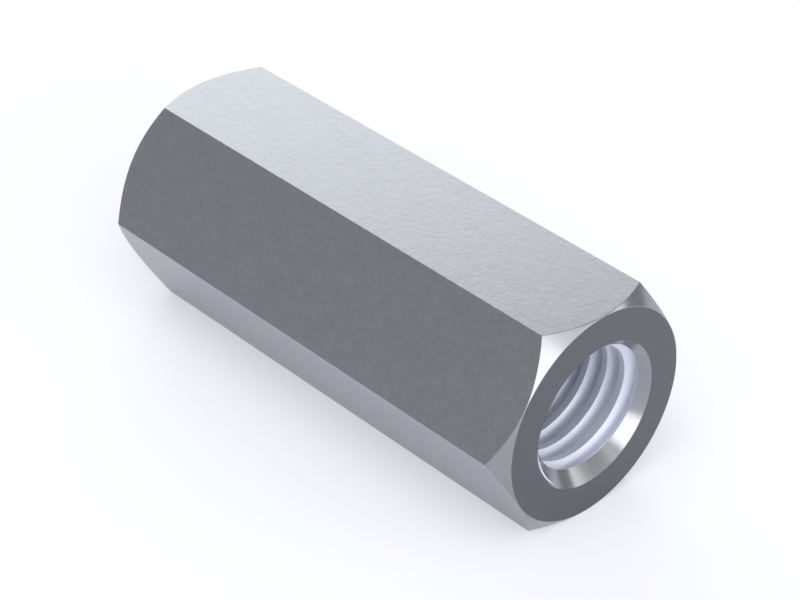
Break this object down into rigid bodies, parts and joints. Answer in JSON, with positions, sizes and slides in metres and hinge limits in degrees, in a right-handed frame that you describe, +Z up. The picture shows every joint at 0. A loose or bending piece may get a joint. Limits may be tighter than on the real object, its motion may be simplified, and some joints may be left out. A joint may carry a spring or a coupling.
{
  "type": "rod coupling",
  "caption": "Long hexagonal nut that joins two threaded rods end to end, with a through bore for the thread, countersunk mouths and chamfered ends.",
  "frame": {"origin": "on the bore's axis, half way along the coupling", "axes": "+X along the bore out of the front mouth, +Z up out of the flat on top, so the coupling lies on the flat that faces -Z"},
  "size_m": [0.045, 0.0208, 0.018],
  "materials": {
    "zinc_plated_steel": "satin zinc plate with a fine grain"
  },
  "bodies": {
    "root": {"rod_coupling": "zinc_plated_steel"}
  },
  "joints": []
}
